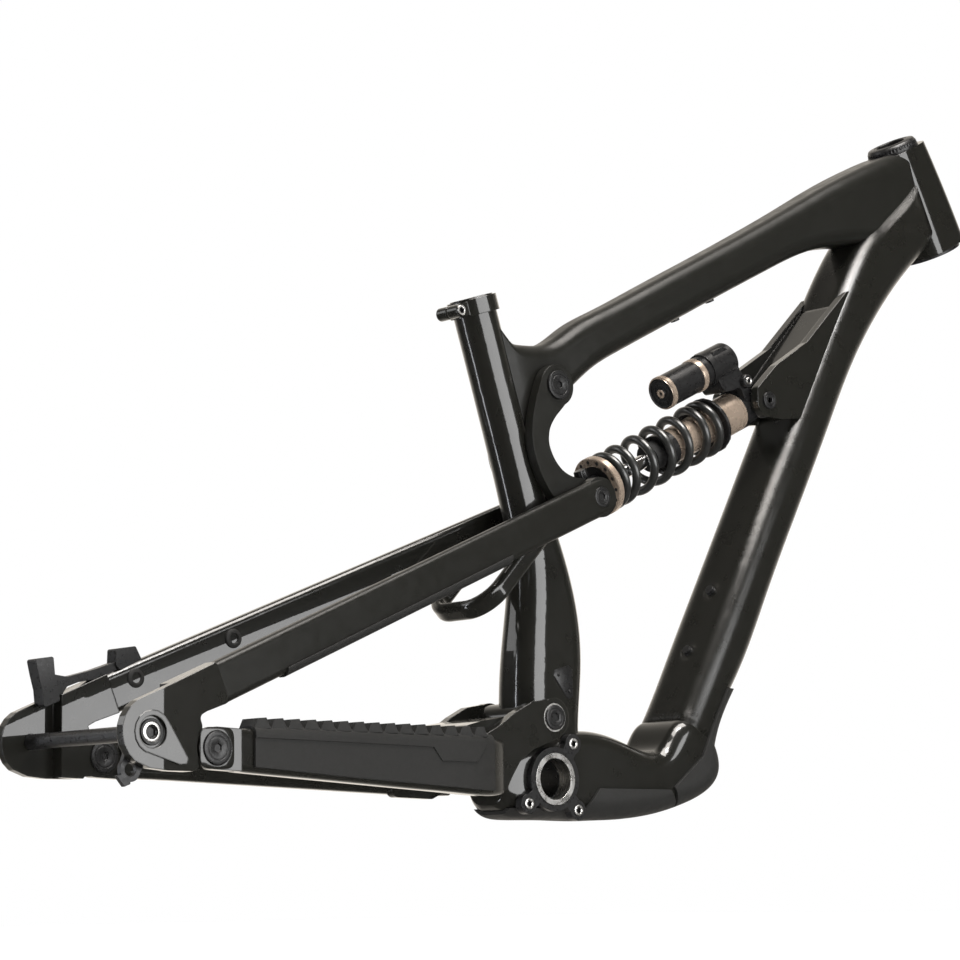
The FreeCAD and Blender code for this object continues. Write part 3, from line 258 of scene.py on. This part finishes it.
def shape_radius(shape, radius, angle):
    """The radius of a ring at an angle: round, hexagon, rounded square, or a toothed edge."""
    if shape == "hex":
        sector = (angle + math.pi / 6) % (math.pi / 3) - math.pi / 6
        return radius * math.cos(math.pi / 6) / math.cos(sector)
    if shape == "square":
        power = 5.0
        return radius / (abs(math.cos(angle)) ** power + abs(math.sin(angle)) ** power) ** (1 / power)
    if isinstance(shape, tuple):
        teeth, depth = shape
        wave = math.sin(angle * teeth)
        return radius - depth * (0.5 - 0.5 * max(-1.0, min(1.0, wave * 2.2)))
    return radius


class Builder:
    """Collects turned and swept parts into one mesh."""

    def __init__(self):
        self.points = []
        self.faces = []
        self.tones = []

    def turned(self, rings, place, count=72, tone=0, hollow=False):
        """Rings are (radius, height, shape, tone) in mm, from one end of the turned part to the other.

        A hollow part runs back to its first ring instead of being closed by end faces.
        """
        if hollow:
            rings = rings + [rings[0]]
        start = len(self.points)
        for ring in rings:
            radius, height = ring[0], ring[1]
            shape = ring[2] if len(ring) > 2 else "round"
            for step in range(count):
                angle = 2 * math.pi * step / count
                reach = shape_radius(shape, radius, angle) * MM
                local = Vector((reach * math.cos(angle), reach * math.sin(angle), height * MM))
                self.points.append(place @ local)
        for index in range(len(rings) - 1):
            band = rings[index + 1][3] if len(rings[index + 1]) > 3 else tone
            for step in range(count):
                following = (step + 1) % count
                a = start + index * count
                b = a + count
                self.faces.append((a + step, a + following, b + following, b + step))
                self.tones.append(band)
        if hollow:
            return
        last = start + (len(rings) - 1) * count
        self.faces.append(tuple(reversed(range(start, start + count))))
        self.tones.append(rings[0][3] if len(rings[0]) > 3 else tone)
        self.faces.append(tuple(range(last, last + count)))
        self.tones.append(rings[-1][3] if len(rings[-1]) > 3 else tone)

    def sweep(self, path, radius, count=20, tone=0):
        """A round wire along the points of the path."""
        start = len(self.points)
        total = len(path)
        for index, spot in enumerate(path):
            ahead = path[min(index + 1, total - 1)] - path[max(index - 1, 0)]
            side = ahead.cross(SHOCK_AXIS).normalized()
            up = side.cross(ahead).normalized()
            for step in range(count):
                angle = 2 * math.pi * step / count
                self.points.append(spot + (side * math.cos(angle) + up * math.sin(angle)) * radius)
        for index in range(total - 1):
            for step in range(count):
                following = (step + 1) % count
                a = start + index * count
                b = a + count
                self.faces.append((a + step, b + step, b + following, a + following))
                self.tones.append(tone)
        last = start + (total - 1) * count
        self.faces.append(tuple(range(start, start + count)))
        self.faces.append(tuple(reversed(range(last, last + count))))
        self.tones += [tone, tone]

    def prism(self, outline, low, high, inset=0.6, tone=0):
        """A plate of the outline (x, z) in metres between two y values, with its outer edge bevelled."""
        count = len(outline)
        centre = (sum(x for x, z in outline) / count, sum(z for x, z in outline) / count)

        def shrunk(amount):
            for x, z in outline:
                run = math.hypot(x - centre[0], z - centre[1])
                share = max(0.0, 1 - amount * MM / run)
                yield centre[0] + (x - centre[0]) * share, centre[1] + (z - centre[1]) * share

        step = (high - low) * 0.35
        start = len(self.points)
        for amount, level in ((0.0, low), (0.0, high - step), (inset, high)):
            for x, z in shrunk(amount):
                self.points.append(Vector((x, level, z)))
        for index in range(2):
            for spot in range(count):
                following = (spot + 1) % count
                a = start + index * count
                b = a + count
                self.faces.append((a + spot, a + following, b + following, b + spot))
                self.tones.append(tone)
        self.faces.append(tuple(range(start, start + count)))
        self.faces.append(tuple(range(start + 2 * count, start + 3 * count)))
        self.tones += [tone, tone]

    def finish(self, name, body, shaders, replaces=(), sharp=32):
        mesh = bpy.data.meshes.new(name)
        mesh.from_pydata(self.points, [], self.faces)
        for polygon, tone in zip(mesh.polygons, self.tones):
            polygon.use_smooth = True
            polygon.material_index = tone
        solid = bmesh.new()
        solid.from_mesh(mesh)
        bmesh.ops.remove_doubles(solid, verts=solid.verts, dist=1e-7)
        solid.to_mesh(mesh)
        solid.free()
        mesh.set_sharp_from_angle(angle=math.radians(sharp))
        obj = bpy.data.objects.new(name, mesh)
        scene.collection.objects.link(obj)
        for shader in shaders:
            mesh.materials.append(shader.material)
        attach(obj, body)
        if replaces:
            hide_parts(*replaces)
        return obj


def across(point, y_mm, side):
    """A place at the point's x and z and the given y, with local Z pointing out of that side."""
    return place_along(Vector((point.x, y_mm * MM, point.z)), (0, side, 0))


def socket_head(radius, thick, key, groove=0.66, depth=3.0, tone=0, floor_tone=None):
    """Rings of a low bolt head with a hexagonal socket and a shallow turned groove."""
    dark = tone if floor_tone is None else floor_tone
    return [
        (key * 0.96, thick - depth, "hex", dark),
        (key, thick - 0.3, "hex", dark),
        (key * 1.12, thick, "round", tone),
        (radius * groove, thick, "round", tone),
        (radius * (groove + 0.02), thick - 0.35, "round", tone),
        (radius * (groove + 0.07), thick - 0.35, "round", tone),
        (radius * (groove + 0.09), thick, "round", tone),
        (radius * 0.94, thick, "round", tone),
        (radius * 0.985, thick - 0.15, "round", tone),
        (radius, thick - 0.5, "round", tone),
        (radius, 0.0, "round", tone),
    ]


def outward(rings):
    """The same rings in the other order, so that faces point outwards."""
    return list(reversed(rings))


ALLOY = MATERIALS["alloy_black"]
STEEL = MATERIALS["bolt_steel"]
BRONZE = MATERIALS["bronze_anodised"]
GLOSS = MATERIALS["carbon_gloss"]


def pivot_axles():
    made = Builder()
    for side in (DRIVE, NONDRIVE):
        made.turned(outward(socket_head(12.5, 2.2, 3.4, depth=2.0)), across(LINK_TOP, side * 30.3, side))
    made.turned([(6, -30.3), (6, 30.3)], across(LINK_TOP, 0, NONDRIVE))
    made.finish("link_axle_turned", "front_triangle", [ALLOY], ["link_pivot_axle"])

    made = Builder()
    for side in (DRIVE, NONDRIVE):
        made.turned(outward(socket_head(10.5, 1.6, 4.0, depth=1.5)),
                    across(MAIN_PIVOT, side * 45.3, side))
    made.turned([(7.5, -45.3), (7.5, 45.3)], across(MAIN_PIVOT, 0, NONDRIVE))
    made.finish("main_axle_turned", "front_triangle", [ALLOY], ["main_pivot_axle"])

    made = Builder()
    made.turned(outward(socket_head(12.5, 1.6, 3.6, depth=1.5)), across(REAR_PIVOT, PAD_FACE, DRIVE))
    made.turned([(5, -18), (5, 0.2)], across(REAR_PIVOT, PAD_FACE, DRIVE))
    made.turned(outward(socket_head(12.5, 1.6, 3.6, depth=1.5)), across(REAR_PIVOT, 65.7, DRIVE))
    made.turned([(5, -18.7), (5, 0.2)], across(REAR_PIVOT, 65.7, DRIVE))
    made.finish("rear_bolts_turned", "chainstay_assembly", [ALLOY],
                ["rear_pivot_bolts"])

    made = Builder()
    for side in (DRIVE, NONDRIVE):
        made.turned(outward(socket_head(8.9, 1.6, 3.4, depth=1.4)), across(SHOCK_REAR, side * 41, side))
    made.finish("stay_caps_turned", "seatstay_assembly", [ALLOY],
                ["seatstay_pivot_caps"])

    made = Builder()
    made.turned(outward(socket_head(8, 2.2, 3.0, depth=2.0)), across(SHOCK_FRONT, -29, DRIVE))
    made.turned([(4, -59), (4, 0.2)], across(SHOCK_FRONT, -29, DRIVE))
    made.finish("shock_bolt_turned", "front_triangle", [ALLOY], ["shock_front_bolt"])


def rear_axle():
    made = Builder()
    made.turned([(6, -82), (6, 84)], across(REAR_AXLE, 0, NONDRIVE))
    made.turned(outward(socket_head(10, 3.5, 3.2, depth=2.8)), across(REAR_AXLE, 84, NONDRIVE))
    made.finish("through_axle_turned", "seatstay_assembly", [ALLOY],
                ["rear_through_axle"])
    made = Builder()
    rings = [(9, 0), (9, 10.2), (10, 10.2), (10, 11.0), (9.6, 11.4), (8.0, 11.4), (7.6, 11.0),
             (7.0, 11.2, "round", 1), (5.6, 11.2, "round", 1), (5.0, 9.8), (4.6, 9.4, "hex"),
             (4.4, 6.6, "hex"), (4.3, 6.5, "hex")]
    made.turned(rings, across(REAR_AXLE, -74, DRIVE))
    made.finish("hanger_bolt_turned", "seatstay_assembly", [ALLOY, STEEL],
                ["hanger_bolt"])


TAB_CIRCLE = 36.6
TAB_ANGLES = (54.8, 214.8, 314.8)


def small_screws():
    made = Builder()
    for degrees in TAB_ANGLES:
        turn = math.radians(degrees)
        spot = Vector((math.cos(turn), 0, math.sin(turn))) * TAB_CIRCLE * MM
        rings = [(4.4, 0), (4.4, 6.0), (4.9, 6.2), (4.8, 6.9), (4.4, 7.1), (2.9, 7.1), (2.5, 6.7, "hex"),
                 (2.4, 3.5, "hex", 1), (2.3, 3.4, "hex", 1)]
        made.turned(rings, across(spot, -30, DRIVE), 48)
    made.finish("chain_guide_screws", "front_triangle", [STEEL, ALLOY],
                ["chain_guide_inserts"])

    made = Builder()
    centre = middle("seat_clamp_bolt")
    made.turned(outward(socket_head(4.4, 6.2, 2.3, groove=0.8, depth=3, floor_tone=1)),
                across(centre, -8, DRIVE), 48)
    made.turned([(2.5, -22), (2.5, 0.2)], across(centre, -8, DRIVE), 32)
    made.finish("clamp_bolt_turned", "front_triangle", [STEEL, ALLOY],
                ["seat_clamp_bolt"])


def headset_cover():
    base = middle("headset_top_cover")
    axis = (base - middle("headset_lower_bearing")).normalized()
    made = Builder()
    knurl = (44, 0.8)
    rings = [(14.3, -7.5), (17.5, -7.5), (17.5, -4.0), (24.4, -4.0), (25.0, -3.4, knurl),
             (25.0, -0.4, knurl), (24.6, 0.2), (23.4, 2.6), (22.6, 3.2), (17.0, 3.9), (16.4, 3.4),
             (14.8, 3.4), (14.3, 3.0), (14.3, -7.4)]
    made.turned(rings, place_along(base, axis), 176, hollow=True)
    made.finish("headset_cover_turned", "front_triangle", [ALLOY],
                ["headset_top_cover"])


def shock_place(distance, rise=0.0, side=0.0):
    origin = SHOCK_REAR + (SHOCK_AXIS * distance + SHOCK_RISE * rise + Vector((0, side, 0))) * MM
    return place_along(origin, SHOCK_AXIS)


def shock_pieces():
    made = Builder()
    can = [(1.9, -0.2, "hex", 0), (2.0, -1.3, "hex", 1), (3.0, -1.5, "round", 1), (4.2, -1.2, "round", 1),
           (4.6, -0.2), (5.0, 0.9), (7.4, 0.9), (7.7, 0.1), (9.1, 0.1), (9.5, 1.0), (12.2, 1.0),
           (12.6, -0.2), (14.1, -0.5), (14.3, 0.1, "round", 1), (15.2, 0.2, "round", 1),
           (15.6, 0.7, "round", 1), (15.6, 4.6, "round", 1), (15.1, 4.8), (15.1, 43.5),
           (15.6, 43.8, "round", 1), (15.9, 44.6, "round", 1), (15.9, 49.4, "round", 1), (15.2, 50.0),
           (15.2, 58.0)]
    made.turned(can, shock_place(146, 48, -5), 96)
    made.finish("reservoir_turned", "shock_body", [ALLOY, BRONZE],
                ["reservoir", "reservoir_cap"])

    made = Builder()
    rings = [(16.1, 0.0), (25.2, 0.0), (26.0, 0.8), (26.0, 3.2, (12, 1.6)), (25.2, 4.0),
             (19.6, 4.4), (18.9, 5.0, "round", 1), (18.5, 5.4, "round", 1)]
    rings += [(18.5, 33.0, "round", 1), (18.1, 33.4, "round", 1), (18.1, 34.2, "round", 1),
              (18.5, 34.6, "round", 1), (18.5, 37.2, "round", 1), (18.0, 37.9, "round", 1),
              (16.1, 37.9, "round", 1), (16.1, 0.1, "round", 1)]
    made.turned(rings, shock_place(192), 96, hollow=True)
    made.finish("preload_collar_turned", "collar", [ALLOY, BRONZE],
                ["preload_collar"])

    made = Builder()
    rings = [(6.4, 0.6), (18.6, 0.6), (19.0, -0.2, "round", 1), (19.6, -0.6, "round", 1),
             (26.2, -0.6, "round", 1), (27.0, 0.2, "round", 1), (27.0, 5.6, "round", 1),
             (26.4, 6.4), (22.0, 7.0), (6.4, 7.0), (6.4, 0.7)]
    made.turned(rings, shock_place(37), 96, hollow=True)
    for index in range(14):
        turn = 2 * math.pi * index / 14
        place = shock_place(37, 23 * math.cos(turn), 23 * math.sin(turn))
        made.turned([(1.5, 0.3, "round", 2), (1.7, -0.68, "round", 2), (1.4, -0.72, "round", 2)],
                    place, 20, tone=2)
    made.finish("spring_retainer_turned", "shock_shaft_assembly",
                [ALLOY, BRONZE, MATERIALS["bumper"]], ["spring_retainer"])

    made = Builder()
    spot = middle("compression_dial")
    rings = outward([(2.2, 4.2, "hex", 2), (2.3, 6.2, "hex", 1), (2.9, 6.6, "round", 1),
                     (3.4, 6.2, "round", 1), (3.6, 5.4), (5.4, 5.6), (6.0, 5.0), (6.3, 4.2, (18, 0.4)),
                     (6.3, 0.6, (18, 0.4)), (6.0, 0.0)])
    low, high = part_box("compression_dial")
    made.turned(rings, across(spot, high.y / MM, DRIVE), 72)
    made.finish("compression_knob_turned", "compression_knob",
                [ALLOY, STEEL, MATERIALS["bumper"]], ["compression_dial"])

    made = Builder()
    base = SHOCK_REAR + (SHOCK_AXIS * 24 + SHOCK_RISE * 13) * MM
    rings = [(5.2, 0.0), (6.0, 0.6, (16, 0.6)), (6.0, 6.8, (16, 0.6)), (5.4, 7.6), (2.2, 8.0)]
    made.turned(rings, place_along(base, SHOCK_RISE), 64)
    made.finish("rebound_knob_turned", "rebound_knob", [ALLOY], ["rebound_dial"])


COIL_FIRST, COIL_LAST = 48.05, 187.95
COIL_RADIUS, WIRE_RADIUS = 22.6, 3.9
COIL_TURNS, CLOSED_PITCH = 7.0, 8.0


def coil_spring():
    steps = 420
    open_pitch = (COIL_LAST - COIL_FIRST - 2 * CLOSED_PITCH) / (COIL_TURNS - 2)
    path = []
    for index in range(steps + 1):
        turn = COIL_TURNS * index / steps
        rise = CLOSED_PITCH * min(turn, 1.0)
        rise += open_pitch * max(0.0, min(turn, COIL_TURNS - 1) - 1)
        rise += CLOSED_PITCH * max(0.0, turn - (COIL_TURNS - 1))
        angle = 2 * math.pi * turn + 2.2
        offset = SHOCK_RISE * math.cos(angle) + Vector((0, 1, 0)) * math.sin(angle)
        path.append(SHOCK_REAR + (SHOCK_AXIS * (COIL_FIRST + rise) + offset * COIL_RADIUS) * MM)
    made = Builder()
    made.sweep(path, WIRE_RADIUS * MM, 24)
    coil = made.finish("coil_wound", "shock_body", [MATERIALS["coil_steel"]],
                       ["coil_spring"], sharp=60)
    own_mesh(coil)


def trim_pieces():
    made = Builder()
    rings = [(15.6, 0.0, "square"), (15.6, 0.35, "square"), (15.0, 0.6, "square"), (13.2, 0.6),
             (12.8, 0.2), (12.8, 0.1)]
    made.turned(rings, across(REAR_PIVOT, PAD_FACE, DRIVE), 96)
    made.finish("rear_pivot_washer", "chainstay_assembly", [GLOSS])

    made = Builder()
    for x, z, y in ((-356, 78, 66.2), (-266, 113, 58.6)):
        place = across(Vector((x * MM, 0, z * MM)), y, DRIVE)
        rings = [(8.2, -0.5), (8.2, 0.8), (7.6, 2.4), (6.0, 3.2), (4.4, 3.2), (4.0, 2.4), (3.8, 1.2)]
        made.turned(rings, place, 48)
    made.finish("cable_grommets", "seatstay_assembly", [MATERIALS["guard_rubber"]],
                ["cable_guides"])

    made = Builder()
    corners = [(11, 93), (27, 97.5), (31.5, 94), (32, 71), (28, 68.5), (24, 70), (12, 84.5), (9.5, 88)]
    outline = [(x * MM, z * MM) for x, z in corners]
    made.prism(outline, -24.2 * MM, -25.8 * MM, inset=1.0)
    for x, z in ((15, 89), (27.5, 75)):
        made.turned([(1.5, 0.0), (1.5, 0.3), (1.1, 0.6)], across(Vector((x * MM, 0, z * MM)), -25.7, DRIVE),
                    24)
    made.finish("cable_port_cover", "front_triangle", [ALLOY])


# Bore liner: a thin dark sheet in the bottom bracket bore. It stands partly for the moulded shell and partly as
# painted shade inside the bore.
LINER_BORE, LINER_WALL = 17.05, 0.25
LINER_ENDS = (-22.0, 24.0)


def shell_and_shade_liner():
    """A dark sleeve in the bore between the two machined sleeves: partly the moulded shell, partly painted shade
    that darkens the bore's inside.
    """
    made = Builder()
    count = 72
    for radius, flip in ((LINER_BORE, True), (LINER_BORE + LINER_WALL, False)):
        start = len(made.points)
        for level in LINER_ENDS:
            for step in range(count):
                turn = 2 * math.pi * step / count
                made.points.append(Vector((radius * math.cos(turn), level, radius * math.sin(turn))) * MM)
        for step in range(count):
            following = (step + 1) % count
            face = (start + step, start + following, start + count + following, start + count + step)
            made.faces.append(face if flip else tuple(reversed(face)))
            made.tones.append(0)
    for level in (0, count):
        for step in range(count):
            following = (step + 1) % count
            inner, outer = level, 2 * count + level
            face = (inner + step, outer + step, outer + following, inner + following)
            made.faces.append(face if level == 0 else tuple(reversed(face)))
            made.tones.append(0)
    made.finish("bottom_bracket_shade_liner", "front_triangle", [ALLOY])


shell_and_shade_liner()
pivot_axles()
rear_axle()
small_screws()
headset_cover()
shock_pieces()
coil_spring()
trim_pieces()


# ---------------------------------------------------------------- stage, lights and camera
VIEW_AHEAD = Vector((0.66, 0.745, 0.1)).normalized()


def area_light(name, place, target, wide, tall, radiance, color):
    """A softbox whose power is given as the brightness of its face."""
    lamp = bpy.data.lights.new(name, "AREA")
    lamp.shape = "RECTANGLE"
    lamp.size, lamp.size_y = wide, tall
    lamp.energy = radiance * math.pi * wide * tall
    lamp.color = color
    obj = bpy.data.objects.new(name, lamp)
    scene.collection.objects.link(obj)
    obj.location = place
    obj.rotation_euler = (Vector(target) - Vector(place)).to_track_quat("-Z", "Y").to_euler()
    obj.visible_camera = False
    return obj


def build_world():
    """White behind the frame, dim behind the camera, so that only the softboxes show on flat faces."""
    world = bpy.data.worlds.new("studio")
    scene.world = world
    world.use_nodes = True
    tree = world.node_tree
    room = tree.nodes["Background"]
    backdrop = tree.nodes.new("ShaderNodeBackground")
    path = tree.nodes.new("ShaderNodeLightPath")
    mix = tree.nodes.new("ShaderNodeMixShader")
    place = tree.nodes.new("ShaderNodeTexCoord")
    facing = tree.nodes.new("ShaderNodeVectorMath")
    facing.operation = "DOT_PRODUCT"
    facing.inputs[1].default_value = VIEW_AHEAD
    spread = tree.nodes.new("ShaderNodeMapRange")
    spread.inputs["From Min"].default_value = 0.4
    spread.inputs["From Max"].default_value = 0.95
    spread.inputs["To Min"].default_value = 0.06
    spread.inputs["To Max"].default_value = 1.0
    room.inputs["Color"].default_value = (1.0, 0.93, 0.83, 1.0)
    backdrop.inputs["Color"].default_value = (1.0, 1.0, 1.0, 1.0)
    backdrop.inputs["Strength"].default_value = 1.0
    tree.links.new(place.outputs["Generated"], facing.inputs[0])
    tree.links.new(facing.outputs["Value"], spread.inputs["Value"])
    tree.links.new(spread.outputs["Result"], room.inputs["Strength"])
    tree.links.new(path.outputs["Is Camera Ray"], mix.inputs["Fac"])
    tree.links.new(room.outputs["Background"], mix.inputs[1])
    tree.links.new(backdrop.outputs["Background"], mix.inputs[2])
    tree.links.new(mix.outputs["Shader"], tree.nodes["World Output"].inputs["Surface"])


def build_floor():
    half, level = 7.0, cad_low.z - 0.16
    mesh = bpy.data.meshes.new("floor")
    corners = [(-half, -half, level), (half, -half, level), (half, half, level), (-half, half, level)]
    mesh.from_pydata(corners, [], [(0, 1, 2, 3)])
    floor = bpy.data.objects.new("floor", mesh)
    scene.collection.objects.link(floor)
    paper = Shader("floor_paper", (0.9, 0.9, 0.9), 0.85)
    paper.vary_roughness(8, 0.8, 0.9)
    paper.set("Emission Color", (1.0, 1.0, 1.0, 1.0))
    paper.set("Emission Strength", 0.88)
    paint(floor, paper)
    floor.visible_glossy = False


build_world()
build_floor()
centre = (cad_low + cad_high) / 2
# Name, place, target, width, height, brightness of the face, colour.
LIGHTS = (
    ("softbox_side", (0.2, -2.4, 0.45), (0.2, 0.0, 0.45), 2.4, 1.3, 6.0, (1.0, 1.0, 1.0)),
    ("strip_left", (-0.95, 0.46, -0.02), (-0.03, 0.0, 0.33), 0.1, 1.3, 9.0, (0.92, 0.94, 1.0)),
    ("top", (-0.2, -0.7, 2.4), (-0.2, -0.7, 0.0), 2.0, 1.5, 13.0, (1.0, 0.95, 0.9)),
    ("shoulder_core", (-0.33, -1.06, 2.3), (0.3, -0.03, 0.3), 0.8, 0.5, 24.0, (1.0, 1.0, 1.0)),
    ("rear_fill", (-1.9, 1.9, 1.5), centre, 1.0, 1.6, 2.0, (1.0, 1.0, 1.0)),
)
for light in LIGHTS:
    area_light(*light)

CAMERA_AZIMUTH = math.radians(-41.10)
CAMERA_ELEVATION = math.radians(-7.94)
CAMERA_ROLL = math.radians(-0.742)
CAMERA_PLACE = (-1.6809, -1.8714, -0.0924)
FOCAL_LENGTH = 110.51


def build_camera():
    camera = bpy.data.cameras.new("camera")
    camera.lens = FOCAL_LENGTH
    camera.sensor_width = 36.0
    camera.clip_end = 60.0
    obj = bpy.data.objects.new("camera", camera)
    scene.collection.objects.link(obj)
    scene.camera = obj
    tilt = math.cos(CAMERA_ELEVATION)
    back = Vector((math.sin(CAMERA_AZIMUTH) * tilt, -math.cos(CAMERA_AZIMUTH) * tilt,
                   math.sin(CAMERA_ELEVATION)))
    forward = -back
    right = forward.cross(Vector((0, 0, 1))).normalized()
    up = right.cross(forward)
    turned_right = right * math.cos(CAMERA_ROLL) + up * math.sin(CAMERA_ROLL)
    turned_up = up * math.cos(CAMERA_ROLL) - right * math.sin(CAMERA_ROLL)
    obj.matrix_world = Matrix.Translation(CAMERA_PLACE) @ Matrix(
        (turned_right, turned_up, back)).transposed().to_4x4()


build_camera()
